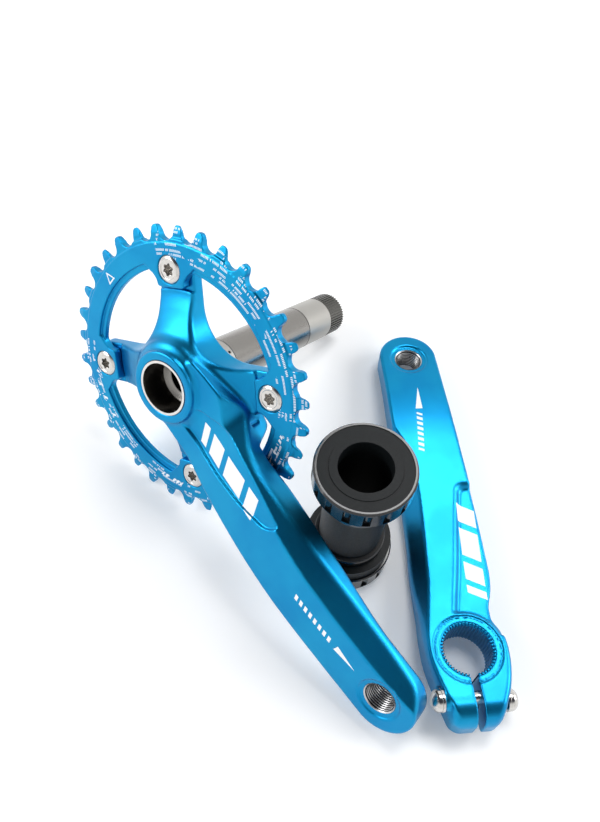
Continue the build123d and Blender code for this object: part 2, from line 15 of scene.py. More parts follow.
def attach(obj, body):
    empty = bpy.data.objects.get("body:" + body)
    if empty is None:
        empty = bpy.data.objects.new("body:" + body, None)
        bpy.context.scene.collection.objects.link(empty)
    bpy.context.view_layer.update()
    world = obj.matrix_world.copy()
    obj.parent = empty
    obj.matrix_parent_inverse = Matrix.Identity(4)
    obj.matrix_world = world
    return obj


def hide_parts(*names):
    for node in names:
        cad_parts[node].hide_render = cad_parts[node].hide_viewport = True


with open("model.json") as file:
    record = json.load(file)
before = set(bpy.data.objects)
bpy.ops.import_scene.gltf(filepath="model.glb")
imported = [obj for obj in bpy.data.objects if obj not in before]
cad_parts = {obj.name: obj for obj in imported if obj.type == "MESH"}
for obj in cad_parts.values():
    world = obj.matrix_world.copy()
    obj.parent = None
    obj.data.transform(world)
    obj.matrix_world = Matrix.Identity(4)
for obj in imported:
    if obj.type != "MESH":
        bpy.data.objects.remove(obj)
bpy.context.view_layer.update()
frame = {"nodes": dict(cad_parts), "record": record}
nodes = frame["nodes"]
record = frame["record"]

# %% [markdown]
# Both arms are forgings, and a forging is drawn along its own axes: X from the spindle to the pedal, Y
# across, Z outboard. The record's mounts say where the spindle and the pedal thread are, so each arm's axes
# and its origin come from two mounts. Everything below is then drawn in millimetres in the arm's own axes.

# %% The axes of each arm
mounts = {m["name"]: m for m in record["mounts"]}


def arm_axes(origin, outboard, pedal):
    """A matrix that takes millimetres along an arm's own axes to metres in the scene."""
    z = Vector(outboard).normalized()
    reach = Vector(pedal) - Vector(origin)
    x = (reach - z * reach.dot(z)).normalized()
    y = z.cross(x)
    turn = Matrix((x, y, z)).transposed().to_4x4()
    return Matrix.Translation(origin) @ turn @ Matrix.Scale(0.001, 4)


journal = mounts["spindle_journal"]
outboard = -Vector(journal["axis"])
journal_middle = 0.0715  # from the chainring's middle to the middle of the bared spindle
ring_middle = Vector(journal["pos_m"]) + outboard * journal_middle
drive = arm_axes(ring_middle, outboard, mounts["drive_pedal_thread"]["pos_m"])
clamp = mounts["left_clamp_bore"]
left = arm_axes(clamp["pos_m"], -Vector(clamp["axis"]), mounts["left_pedal_thread"]["pos_m"])
print("drive arm starts at", [round(v, 4) for v in drive.translation])
print("left arm starts at", [round(v, 4) for v in left.translation])

# %% [markdown]
# The camera looks down from a third of a metre above the table, with a slight roll and through a wide lens.
# Its axes are written out, because a roll is easier to read from a right and a down direction than from
# angles.

# %% Camera
lens_camera = bpy.data.cameras.new("camera")
camera = bpy.data.objects.new("camera", lens_camera)
bpy.context.scene.collection.objects.link(camera)
bpy.context.scene.camera = camera
right = Vector((0.9989, 0.0, 0.0467))
down = Vector((0.0237, -0.8621, -0.5061))
ahead = Vector((0.0403, 0.5067, -0.8612))
turn = Matrix((right, -down, -ahead)).transposed().to_4x4()
camera.matrix_world = Matrix.Translation((-0.0395, -0.1424, 0.3439)) @ turn
lens_camera.sensor_width = 36
lens_camera.lens = 31.09
lens_camera.shift_y = 0.0456
lens_camera.clip_start = 0.01
print("camera stands", round(camera.location.z, 3), "m above the table")

# %% [markdown]
# The table is one pale sheet. The air round the table is light near the horizon and dark overhead, as in a
# real studio, so that the metal has something dark to reflect as well.

# %% Table and lights
bpy.ops.mesh.primitive_plane_add(size=6, location=(0, 0, -0.0004))
table = bpy.context.object
table.name = "table"


def soft_box(name, place, target, size, watts):
    lamp = bpy.data.lights.new(name, "AREA")
    lamp.shape = "RECTANGLE"
    lamp.size, lamp.size_y = size
    lamp.energy = watts
    lamp_object = bpy.data.objects.new(name, lamp)
    bpy.context.scene.collection.objects.link(lamp_object)
    lamp_object.location = place
    lamp_object.rotation_euler = (Vector(target) - Vector(place)).to_track_quat("-Z", "Y").to_euler()
    print(name, watts, "W")


soft_box("back soft box", (0.34, 0.56, 1.3), (0.05, 0, 0), (0.6, 0.45), 7.5)
soft_box("left soft box", (-1.25, 0.1, 0.8), (0, 0, 0), (0.9, 0.6), 10)
soft_box("right soft box", (1.25, 0.2, 0.8), (0, 0, 0), (0.7, 0.6), 8.5)

world = bpy.data.worlds.new("studio")
bpy.context.scene.world = world
world.use_nodes = True
sky = world.node_tree.nodes
links = world.node_tree.links
heights = sky.new("ShaderNodeSeparateXYZ")
links.new(sky.new("ShaderNodeTexCoord").outputs["Generated"], heights.inputs[0])
shades = sky.new("ShaderNodeValToRGB")
links.new(heights.outputs["Z"], shades.inputs[0])
shades.color_ramp.elements[0].color = (1.0, 1.0, 1.0, 1)
shades.color_ramp.elements[1].color = (0.03, 0.035, 0.05, 1)
shades.color_ramp.elements[0].position = 0.55
shades.color_ramp.elements[1].position = 0.8
links.new(shades.outputs[0], sky["Background"].inputs["Color"])
sky["Background"].inputs["Strength"].default_value = 1.05
bpy.context.scene.view_settings.view_transform = "Standard"

# %% [markdown]
# Every finish below is built from shader nodes. A number that changes over a surface is a mask, and masks
# are easiest to read as arithmetic. The class below wraps one socket, so that 1 - mask or mask * 3 adds
# Math nodes.

# %% Arithmetic on sockets
class Value:
    def __init__(self, finish, socket):
        self.finish = finish
        self.socket = socket

    def maths(self, operation, *others):
        return self.finish.maths(operation, self, *others)

    def __add__(self, other):
        return self.maths("ADD", other)

    def __sub__(self, other):
        return self.maths("SUBTRACT", other)

    def __mul__(self, other):
        return self.maths("MULTIPLY", other)

    def __truediv__(self, other):
        return self.maths("DIVIDE", other)

    def __rsub__(self, other):
        return self.finish.maths("SUBTRACT", other, self)

    __radd__ = __add__
    __rmul__ = __mul__

    def above(self, limit):
        return self.maths("GREATER_THAN", limit)

    def below(self, limit):
        return self.maths("LESS_THAN", limit)

    def between(self, low, high):
        return self.above(low) * self.below(high)

    def fract(self):
        return self.maths("FRACT")

    def floor(self):
        return self.maths("FLOOR")

    def size(self):
        return self.maths("ABSOLUTE")


print("arithmetic on sockets is ready")

# %% [markdown]
# A finish is one material with a Principled shader. Its node method takes a node's type, its settings and
# its inputs. Its local method gives a place on a piece in millimetres along an arm's own axes, by dot
# products.

# %% Finishes
class Finish:
    def __init__(self, name, colour, metallic=0.0, roughness=0.5, coat=0.0, coat_roughness=0.1):
        self.material = bpy.data.materials.new(name)
        self.material.use_nodes = True
        self.material.diffuse_color = (*colour, 1)
        self.tree = self.material.node_tree
        self.shader = self.tree.nodes["Principled BSDF"]
        self.shader.inputs["Base Color"].default_value = (*colour, 1)
        self.shader.inputs["Metallic"].default_value = metallic
        self.shader.inputs["Roughness"].default_value = roughness
        self.shader.inputs["Coat Weight"].default_value = coat
        self.shader.inputs["Coat Roughness"].default_value = coat_roughness
        self.place = self.node("ShaderNodeTexCoord", {}, {}).outputs["Object"]
        self.facing = self.place.node.outputs["Normal"]

    def node(self, kind, settings, inputs):
        made = self.tree.nodes.new(kind)
        for key, value in settings.items():
            setattr(made, key, value)
        for key, value in inputs.items():
            self.feed(made.inputs[key], value)
        return made

    def feed(self, socket, value):
        if isinstance(value, Value):
            value = value.socket
        if isinstance(value, bpy.types.NodeSocket):
            self.tree.links.new(value, socket)
        else:
            socket.default_value = value

    def maths(self, operation, *values):
        made = self.node("ShaderNodeMath", {"operation": operation}, dict(enumerate(values)))
        return Value(self, made.outputs[0])

    def dot(self, vector, axis):
        made = self.node("ShaderNodeVectorMath", {"operation": "DOT_PRODUCT"}, {0: vector, 1: tuple(axis)})
        return Value(self, made.outputs["Value"])

    def local(self, axes):
        origin = axes.translation
        across = [axes.to_3x3().col[i].normalized() for i in range(3)]
        return [(self.dot(self.place, a) - a.dot(origin)) * 1000 for a in across]

    def looks_along(self, axis):
        return self.dot(self.facing, axis)

    def noise(self, scale, detail=2.0, roughness=0.5, place=None):
        inputs = {"Vector": place or self.place, "Scale": scale, "Detail": detail, "Roughness": roughness}
        made = self.node("ShaderNodeTexNoise", {}, inputs)
        return Value(self, made.outputs[0])

    def random(self, u, v):
        cell = self.node("ShaderNodeCombineXYZ", {}, {0: u, 1: v})
        made = self.node("ShaderNodeTexWhiteNoise", {"noise_dimensions": "2D"}, {"Vector": cell.outputs[0]})
        return Value(self, made.outputs["Value"])

    def soften(self, value, low, high):
        made = self.node("ShaderNodeMapRange", {"interpolation_type": "SMOOTHSTEP"},
                         {"Value": value, "From Min": low, "From Max": high})
        return Value(self, made.outputs[0])

    def blend(self, mask, under, over):
        made = self.node("ShaderNodeMix", {"data_type": "RGBA"}, {0: mask})
        self.feed(made.inputs[6], under if isinstance(under, bpy.types.NodeSocket) else (*under, 1))
        self.feed(made.inputs[7], over if isinstance(over, bpy.types.NodeSocket) else (*over, 1))
        return made.outputs[2]

    def set(self, name, value):
        self.feed(self.shader.inputs[name], value)

    def bump(self, height, strength, distance):
        made = self.node("ShaderNodeBump", {}, {"Strength": strength, "Distance": distance, "Height": height})
        self.set("Normal", made.outputs[0])


print("finishes are ready")

# %% [markdown]
# The table's paper is almost white, with a very faint grain. It glows a little, as a light table does, so
# that it stays white under lamps that are low enough for the metal.

# %% Table finish
paper = Finish("pale table", (0.97, 0.97, 0.97), roughness=0.9)
paper.set("Emission Color", (1.0, 1.0, 1.0, 1.0))
paper.set("Emission Strength", 0.1)
paper.set("Base Color", paper.blend(paper.noise(6) * 0.3, (0.97, 0.97, 0.97), (0.955, 0.955, 0.955)))
table.data.materials.append(paper.material)
print(paper.material.name)

# %% [markdown]
# Satin anodising is dyed oxide over bead-blasted metal. The metal reflects through the dye, so the
# reflection is blue, and the oxide adds a faint clear gloss. The blasting leaves fine dimples, which
# sparkle in the highlights.

# %% Anodised blue
DYE = (0.007, 0.285, 0.54)
DYE_DEEP = (0.004, 0.235, 0.50)
INK = (0.86, 0.88, 0.89)


def anodised(name, roughness=0.31):
    finish = Finish(name, DYE, metallic=1.0, roughness=roughness, coat=0.1, coat_roughness=0.28)
    grain = finish.noise(2600, 1.0)
    cloud = finish.noise(38, 3.0)
    finish.colour = finish.blend(finish.soften(cloud, 0.35, 0.7), DYE, DYE_DEEP)
    finish.rough = grain * 0.14 + (roughness - 0.05) + cloud * 0.04
    finish.bump(grain, 0.22, 0.00012)
    finish.set("Base Color", finish.colour)
    finish.set("Roughness", finish.rough)
    return finish


def print_ink(finish, mask):
    """Opaque white ink or a laser mark: it hides the dye where the mask is 1."""
    finish.set("Base Color", finish.blend(mask, finish.colour, INK))
    finish.set("Metallic", 1 - mask * 0.85)
    finish.set("Roughness", finish.rough * (1 - mask) + mask * 0.45)


def slanted_bars(along, across, bars, half, slant):
    """Plain slanted bars: each is a pair of numbers, its start and its end."""
    lean = along + across * slant
    mask = None
    for start, end in bars:
        bar = lean.between(start, end)
        mask = bar if mask is None else mask + bar
    return mask * across.size().below(half)


def dashes(along, across, start, end, pitch, half, slant):
    lean = along + across * slant
    return (lean / pitch).fract().below(0.55) * lean.between(start, end) * across.size().below(half)


print("anodising is ready")

# %% [markdown]
# A forging has no sharp corner anywhere, and its surfaces run into each other. That is hard to draw as a
# mesh and easy to write as a distance: a function that is negative inside the metal. Two shapes join or cut
# with rounded corners by the two formulas below, and a mesh is then skinned over the place where the
# distance is zero.

# %% Rounded joins and cuts
def keep_both(a, b, radius):
    """Where both shapes are. The corner between them is rounded to the radius."""
    corner = np.hypot(np.maximum(a + radius, 0), np.maximum(b + radius, 0))
    return np.minimum(np.maximum(a, b), -radius) + corner


def join(a, b, radius):
    """Where either shape is. The inner corner between them is filled to the radius."""
    corner = np.hypot(np.maximum(radius - a, 0), np.maximum(radius - b, 0))
    return np.maximum(np.minimum(a, b), radius) - corner


def cut(a, b, radius):
    return keep_both(a, -b, radius)


def through(x, *points):
    """A smooth curve through the points, as y for each x."""
    px = np.array([p[0] for p in points], float)
    py = np.array([p[1] for p in points], float)
    step = np.diff(py) / np.diff(px)
    slope = np.concatenate(([step[0]], (step[1:] + step[:-1]) / 2, [step[-1]]))
    slope[1:-1][step[1:] * step[:-1] <= 0] = 0
    i = np.clip(np.searchsorted(px, x) - 1, 0, len(px) - 2)
    width = px[i + 1] - px[i]
    t = np.clip((x - px[i]) / width, 0, 1)
    rise = py[i + 1] - py[i]
    cubic = (slope[i] + slope[i + 1]) * width - 2 * rise
    square = 3 * rise - (2 * slope[i] + slope[i + 1]) * width
    return py[i] + t * (slope[i] * width + t * (square + t * cubic))


print("a curve through three points passes", float(through(np.array([5.0]), (0, 0), (5, 2), (10, 0))[0]))

# %% [markdown]
# Skinning puts one vertex in each small cell that the surface crosses, at the average of its edge
# crossings, and one four-sided face across each grid edge that it crosses. The faces are even and small,
# and shade smoothly.

# %% Skin a distance field
def skin(field, low, step):
    inside = field < 0
    count = inside[:-1, :-1, :-1].astype(np.int8)
    for dx, dy, dz in ((1, 0, 0), (0, 1, 0), (0, 0, 1), (1, 1, 0), (1, 0, 1), (0, 1, 1), (1, 1, 1)):
        nx, ny, nz = (n - 1 for n in field.shape)
        count = count + inside[dx:dx + nx, dy:dy + ny, dz:dz + nz]
    cells = np.argwhere((count > 0) & (count < 8))
    number = np.full(count.shape, -1, np.int32)
    number[tuple(cells.T)] = np.arange(len(cells))
    total = np.zeros((len(cells), 3))
    hits = np.zeros((len(cells), 1))
    for axis in range(3):
        for a in (0, 1):
            for b in (0, 1):
                near = np.insert(np.array((a, b)), axis, 0)
                far = np.insert(np.array((a, b)), axis, 1)
                va = field[tuple((cells + near).T)]
                vb = field[tuple((cells + far).T)]
                crossed = ((va < 0) != (vb < 0))[:, None]
                share = (va / np.where(va == vb, 1, va - vb))[:, None]
                total += np.where(crossed, near + share * (far - near), 0)
                hits += crossed
    points = (cells + total / hits) * step + np.array(low)
    faces = []
    for axis in range(3):
        first = np.take(inside, range(inside.shape[axis] - 1), axis)
        second = np.take(inside, range(1, inside.shape[axis]), axis)
        u, v = [d for d in range(3) if d != axis]
        for leaves in (True, False):
            edges = np.argwhere((first == leaves) & (second != leaves))
            edges = edges[(edges[:, u] > 0) & (edges[:, v] > 0)]
            corners = []
            for du, dv in ((1, 1), (0, 1), (0, 0), (1, 0)):
                shift = edges.copy()
                shift[:, u] -= du
                shift[:, v] -= dv
                corners.append(number[tuple(shift.T)])
            quad = np.stack(corners, 1)
            faces.append(quad if leaves == (axis != 1) else quad[:, ::-1])
    return points, np.concatenate(faces)


def mesh_piece(name, points, faces, axes, finish, body, stands_for=(), slot=None):
    """A smooth mesh from points in millimetres along an arm's own axes."""
    placed = points @ np.array(axes.to_3x3()).T + np.array(axes.translation)
    mesh = bpy.data.meshes.new(name)
    mesh.from_pydata(placed.tolist(), [], np.asarray(faces).tolist())
    mesh.polygons.foreach_set("use_smooth", [True] * len(mesh.polygons))
    mesh.materials.append(finish.material)
    mesh.update()
    piece = bpy.data.objects.new(name, mesh)
    bpy.context.scene.collection.objects.link(piece)
    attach(piece, body)
    if stands_for:
        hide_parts(*stands_for)
    print(name, len(mesh.polygons), "faces")
    return piece


def block(low, high, step):
    """The three coordinates of a block of grid points, shaped so that they combine."""
    lines = [np.arange(a, b + step, step) for a, b in zip(low, high)]
    return lines[0][:, None, None], lines[1][None, :, None], lines[2][None, None, :]


STEP = 0.6
print("the forgings' grid is", STEP, "mm")

# %% [markdown]
# Some sizes are shared by several pieces, so they have names. All are in millimetres along an arm's own
# axes. The four ring bolts are named by their places along the diagonals of the arm's X and Y.

# %% Shared sizes
ARM = 170             # from the spindle's axis to the pedal's
END_START = 172       # where the arm's round end begins
END_R = 16.5
PEDAL_HOLE_R = 7.75
PEDAL_RECESS_R = 10.4
DRIVE_PEDAL_Z = 25.8  # the floor of the recess round each pedal hole
LEFT_PEDAL_Z = 27.8
BOLT_CIRCLE_R = 52
BOLT_HOLE_R = 5.0
BOLT_PLACES = ((BOLT_CIRCLE_R, 0), (-BOLT_CIRCLE_R, 0), (0, BOLT_CIRCLE_R), (0, -BOLT_CIRCLE_R))
RING_BACK_Z = -2.0
PINCH_X = -21
PINCH_SEAT = 15.4     # from the slot's middle to the flat under a washer
PINCH_BOLTS = (("upper", 12.4, 1), ("lower", 4.9, -1))


def pedal_eye(body, x, y, z, recess_floor):
    """The pedal's hole and the shallow recess round it, cut out of an arm."""
    away = np.hypot(x - ARM, y)
    body = cut(body, keep_both(away - PEDAL_RECESS_R, recess_floor - z, 0.3), 0.45)
    return cut(body, away - PEDAL_HOLE_R, 0.4)


def round_end(x, y, outline):
    return np.where(x > END_START, np.hypot(x - END_START, y) - END_R, outline)


def diagonals(x, y):
    return (x + y) / math.sqrt(2), (y - x) / math.sqrt(2)


print("an arm is", ARM, "mm and the ring's bolts are on a circle of radius", BOLT_CIRCLE_R, "mm")

# %% [markdown]
# The drive arm: a round hub, four spider arms that carry the ring, and a long arm that rises clear of the
# ring to the pedal. One long edge has a wide bevel below a crisp ridge, and a shallow panel is sunk beside
# that ridge.

# %% Drive arm
def drive_forging(x, y, z):
    r = np.hypot(x, y)
    u, v = diagonals(x, y)
    draft = (z + 8) * 0.07
    star = join(np.abs(u) - 10.8 + draft, np.abs(v) - 10.8 + draft, 24)
    star = keep_both(star, r - 60.8, 8)
    slope = through(r, (0, 9), (17, 9), (22, 7.6), (26, 5.2), (34, 1.8), (43.6, -0.9), (70, -0.9))
    face = (z - slope) * 0.93
    spider = keep_both(keep_both(star, face, 1.6), -8 - z, 1.0)
    seat = np.maximum(np.maximum(43.4 - r, RING_BACK_Z - z), np.minimum(np.abs(u), np.abs(v)) - 15)
    spider = np.maximum(spider, -seat)
    dome_r = through(z, (-14, 22), (3, 23.5), (7, 22.6), (10.5, 20.9), (12.9, 18.2), (14, 17.7), (16, 17.7))
    dome = (r - dome_r) * 0.9
    dome = keep_both(keep_both(dome, z - 15.2, 0.9), -8 - z, 1)
    back = keep_both(r - 16.5, np.abs(z + 9) - 4, 0.8)

    bevel_side = through(x, (-5, 21), (8, 22.5), (20, 22.8), (30, 22.3), (38, 20), (48, 17), (60, 15.6),
                         (90, 15.9), (130, 16.5), (172, 16.5))
    plain_side = through(x, (-5, -17.5), (10, -18), (27, -19.4), (57, -19.6), (86, -18.8), (119, -17.9),
                         (148, -17.2), (172, -16.5))
    outline = np.maximum(y - bevel_side, plain_side - y)
    outline = keep_both(round_end(x, y, outline), -x, 2)
    top = through(x, (-5, 12), (14, 12), (24, 11.9), (50, 17), (85, 23.5), (108, 26.0), (128, 26.6),
                  (145, 26.7), (190, 26.7))
    low = through(x, (-5, -8), (42, -8), (44.5, -6), (49.2, 3.0), (51, 3.3), (73, 3.9), (110, 8.3),
                  (148, 13.1), (160, 13.2), (190, 13.2))
    ridge = through(x, (-5, 24), (16, 23.6), (21, 22.4), (26, 19.3), (30, 15.9), (34, 13.6), (40, 12.9),
                    (48, 12.6), (65, 11.7), (83, 10.2), (100, 9.5), (114, 9.2), (139, 9.3), (159, 9.8),
                    (174, 11.2), (184, 13))
    flat = (z - top) * 0.97
    bevel = ((z - top) + (y - ridge) * 1.2) / 1.56
    upper = keep_both(flat, bevel, 0.7)
    panel_left = y - through(x, (0, -7.6), (18, -7.6), (33, -7.4), (47, -5.8), (63, -2.3), (73, 1.2),
                             (80, 4.6), (84, 9), (90, 14))
    step_edge = through(x, (0, 5), (15, 5.9), (23.5, 8.7), (33.5, 13.2), (40, 14), (90, 16))
    panel = keep_both(keep_both(-panel_left, y - step_edge, 1), x - 83.6, 3)
    panel = keep_both(panel, (top - 1.5) - z, 0.8)
    upper = cut(upper, panel, 0.5)
    beam = keep_both(keep_both(outline, upper, 1.3), (low - z) * 0.97, 2.2)

    body = join(join(spider, beam, 2.2), dome, 1.4)
    body = join(body, back, 0.6)
    ring_room = np.maximum(np.maximum(51.6 - r, RING_BACK_Z - z), z - 3.0)
    tab_room = np.maximum(seat, z - 3.0)
    body = cut(body, np.minimum(ring_room, tab_room), 0.8)
    body = cut(body, r - 13.5, 0.5)
    for bu, bv in BOLT_PLACES:
        body = np.maximum(body, BOLT_HOLE_R - np.hypot(u - bu, v - bv))
    return pedal_eye(body, x, y, z, DRIVE_PEDAL_Z)


lo, hi = (-52, -52, -14.5), (190, 52, 28.5)
points, faces = skin(drive_forging(*block(lo, hi, STEP)), lo, STEP)

drive_blue = anodised("satin blue, drive arm")
x, y, z = drive_blue.local(drive)
face_on = drive_blue.looks_along(drive.to_3x3().col[2].normalized()).above(0.6)
lean = y - 2.0 - (x - 50) * 0.12
bars = slanted_bars(x, lean, ((27, 31), (34, 43), (46.5, 60), (63.5, 71)), 5.2, 0.45)
row = y + 1.6 - (x - 130) * 0.03
small = dashes(x, row, 112, 138, 3.3, 1.4, 0.4)
sliver = x.between(141, 154) * row.size().below((154 - x) * 0.13)
print_ink(drive_blue, (bars + small + sliver) * face_on * z.above(9))
mesh_piece("drive_arm_forging", points, faces, drive, drive_blue, "drive_crank", ("drive_arm",),
           "blue_anodised")

# %% [markdown]
# The left arm has no spider. Its end is a split clamp, pinched by two bolts, with a ring turned round the
# bore. A panel is sunk along one edge behind a soft step, and the other edge is bevelled from the clamp to
# half way up.

# %% Left arm
def left_forging(x, y, z):
    r = np.hypot(x, y)
    bevel_side = through(x, (-34, 11), (-30, 13.2), (-25, 14.6), (-13, 17.6), (-2, 19.4), (8, 19.5),
                         (20, 18.8), (40, 18.6), (60, 17.4), (90, 16.9), (130, 17.2), (150, 16.8),
                         (172, 16.5))
    waist_side = through(x, (-34, -9), (-30, -10.6), (-18, -16.2), (-8, -18.8), (0, -19.4), (8, -18.3),
                         (15, -15.2), (20, -15.4), (30, -18.6), (40, -19.7), (69, -19.4), (106, -18),
                         (140, -17), (172, -16.5))
    outline = np.maximum(y - bevel_side, waist_side - y)
    outline = keep_both(round_end(x, y, outline) * 0.96, -33.4 - x, 3.4)
    top = through(x, (-34, 17.2), (20, 17.2), (30, 17.5), (60, 20.6), (100, 25.5), (120, 27.6), (136, 28.5),
                  (150, 28.7), (190, 28.7))
    low = through(x, (-34, 0), (24, 0), (32, 1.0), (60, 4.2), (100, 9.5), (148, 15.1), (158, 15.2),
                  (190, 15.2))
    ridge = through(x, (-34, 9), (-25, 12), (-16, 15.6), (-3, 18.8), (8, 17.8), (15, 16.3), (34, 12.6),
                    (49, 11.4), (60, 10.5), (86, 9.4), (102, 10), (110, 11.6), (118, 15), (125, 18),
                    (140, 20), (190, 20))
    flat = (z - top) * 0.97
    bevel = ((z - top) + (y - ridge) * 1.5) / 1.8
    upper = keep_both(flat, bevel, 0.9)
    waist_bevel = ((z - top) - (y - waist_side) * 1.3 - 2.2) / 1.64
    upper = keep_both(upper, waist_bevel, 0.9)
    edge = through(x, (-34, 3.4), (14, 3.2), (18.5, 2.4), (39, -2.4), (66, -7.6), (81, -10.6), (90, -12.4),
                   (120, -14))
    sunk = keep_both((y - edge) * 0.8 + (top - z) * 0.6, (x - 85) * 0.8 + (top - z) * 0.6, 2.5)
    sunk = keep_both(sunk, np.maximum(18.0 - r, 6 - x), 1.2)
    sunk = keep_both(sunk, (top - 2.3) - z, 1.0)
    upper = cut(upper, sunk, 1.6)
    end_slope = ((z - 17.2) + (-28.0 - x) * 0.9) / 1.35
    upper = keep_both(upper, end_slope, 2.5)
    radius = through(x, (-34, 3.0), (0, 2.2), (25, 1.3), (190, 1.3))
    body = keep_both(keep_both(outline, upper, radius), (low - z) * 0.97, 2.0)
    for _, bolt_z, side in PINCH_BOLTS:
        away = np.hypot(x - PINCH_X, z - bolt_z)
        lug = keep_both(away - 4.4, np.abs(side * y - 9) - 6.4, 0.5)
        body = join(body, lug, 0.8)
        body = cut(body, keep_both(away - 6.0, PINCH_SEAT - side * y, 0.3), 0.5)
        body = np.maximum(body, -np.maximum(away - 3.15, 1.0 - side * y))
    body = np.maximum(body, -np.maximum(np.abs(r - 15.8) - 0.3, 16.6 - z))
    body = cut(body, np.maximum(r - 15.2, 16.7 - z), 0.2)
    body = cut(body, r - 12.6, 0.2)
    body = cut(body, np.maximum(np.abs(y) - 1.7, x), 0.35)
    return pedal_eye(body, x, y, z, LEFT_PEDAL_Z)


lo, hi = (-34.5, -23, -1.5), (190, 23, 30.5)
points, faces = skin(left_forging(*block(lo, hi, STEP * 0.9)), lo, STEP * 0.9)
left_blue = anodised("satin blue, left arm")
x, y, z = left_blue.local(left)
face_on = left_blue.looks_along(left.to_3x3().col[2].normalized()).above(0.6)
lean = y + 12.6 + (x - 52) * 0.06
bars = slanted_bars(x, lean, ((26, 30), (33, 42), (45.5, 60), (63.5, 73)), 4.6, -0.5)
row = y - 1.5 + (x - 125) * 0.12
small = dashes(x, row, 106, 130, 3.3, 1.6, -0.4)
sliver = x.between(133, 148) * row.size().below((148 - x) * 0.13)
print_ink(left_blue, (bars + small + sliver) * face_on * z.above(14))
mesh_piece("left_arm_forging", points, faces, left, left_blue, "left_arm", ("left_arm",), "blue_anodised")

# %% [markdown]
# The bore of the left arm is cut with fine splines that grip the spindle. They are finer than the skin's
# cells, so they are a ring of their own: one profile round the bore, swept through the clamp and open at
# the slot.

# %% Splined lining
def sweep_round(name, rings, closed, axes, finish, body, **more):
    """A mesh through rings of points, each ring the same length. Closed rings join end to start."""
    count = len(rings[0])
    points = np.concatenate([np.asarray(r, float) for r in rings])
    faces = []
    for k in range(len(rings) - 1):
        for i in range(count if closed else count - 1):
            j = (i + 1) % count
            faces.append((k * count + i, k * count + j, (k + 1) * count + j, (k + 1) * count + i))
    return mesh_piece(name, points, faces, axes, finish, body, **more)


SPLINES = 48
SLOT_HALF = 9.5  # degrees left open at the slot
angles = np.radians(np.linspace(SLOT_HALF - 180, 180 - SLOT_HALF, 1700))
groove = 0.5 + 0.5 * np.tanh(6 * np.sin(SPLINES * angles))
inner = 11.42 + 0.62 * groove
shallow = 11.6 + 0.3 * groove
wall = ((12.7, 0.3), (shallow, 0.3), (shallow, 15.0), (inner, 15.5), (inner, 16.0), (inner + 0.7, 16.62),
        (12.75, 16.65))
rings = []
for radius, height in wall:
    level = np.full_like(angles, height)
    rings.append(np.stack((np.cos(angles) * radius, np.sin(angles) * radius, level), 1))
sweep_round("left_arm_splines", rings, False, left, left_blue, "left_arm", slot="blue_anodised")

# %% [markdown]
# Each pedal hole is threaded through. A real thread is a helix, so the wall is a tube whose radius follows
# the angle and the height together. The cutter takes the blue off, so the thread is bare aluminium. The
# thread's roots are painted darker, as painted shade in the grooves.

# %% Bare aluminium and pedal threads
BARE = (0.52, 0.52, 0.52)
# The dark colour below is painted shade, laid in the thread's grooves.
THREAD_ROOT_SHADE = (0.05, 0.05, 0.055)
THREAD_PITCH = 1.27
THREAD_ROOT_R = 7.2
THREAD_DEPTH = 0.62
THREAD_LENGTH = 12.3
THREAD_RIM_R = 7.9


def cut_thread(name, axes):
    finish = Finish(name, BARE, metallic=1.0, roughness=0.3)
    x, y, z = finish.local(axes)
    off = ((x - ARM) * (x - ARM) + y * y).maths("SQRT")
    # Painted shade: the colour is darkened at the thread's root radius, where the grooves lie.
    root = off.between(6.86, 7.3)
    finish.set("Base Color", finish.blend(root, BARE, THREAD_ROOT_SHADE))
    finish.set("Roughness", finish.noise(900, 2) * 0.15 + 0.22)
    finish.bump(finish.noise(1500, 2), 0.1, 0.00006)
    return finish


def pedal_thread(name, axes, face, body):
    turns = np.radians(np.linspace(0, 360, 73)[:-1])

    def circle(radius, height):
        return np.stack((ARM + np.cos(turns) * radius, np.sin(turns) * radius, np.full_like(turns, height)), 1)

    foot = face - THREAD_LENGTH
    rings = [circle(THREAD_RIM_R, foot)]
    for h in np.arange(foot, face + 0.01, 0.16):
        wave = (h / THREAD_PITCH - turns / (2 * math.pi)) % 1.0
        radius = THREAD_ROOT_R - THREAD_DEPTH * (1 - np.abs(2 * wave - 1))
        mouth = np.maximum(radius, PEDAL_HOLE_R - (face - h))
        rings.append(circle(np.where(h > face - 0.7, mouth, radius), h))
    rings.append(circle(THREAD_RIM_R, face + 0.02))
    finish = cut_thread(f"cut thread, {body}", axes)
    sweep_round(name, rings, True, axes, finish, body, slot="blue_anodised")


pedal_thread("drive_arm_pedal_thread", drive, DRIVE_PEDAL_Z - 0.05, "drive_crank")
pedal_thread("left_arm_pedal_thread", left, LEFT_PEDAL_Z - 0.05, "left_arm")

# %% [markdown]
# The chainring has 34 teeth on a 12.7 mm pitch, every second one thinner, and each tip is rounded over.
# Four tabs reach in to the bolts. It is skinned from distances too, on a finer grid, because its edges are
# crisper.

# %% Chainring
TEETH = 34
TIP_R = 71.6
PITCH_R = 68.82       # where the chain's rollers sit
ROLLER_R = 3.97
WIDE_HALF = 1.9       # half the thickness of a wide tooth
NARROW_HALF = 1.05


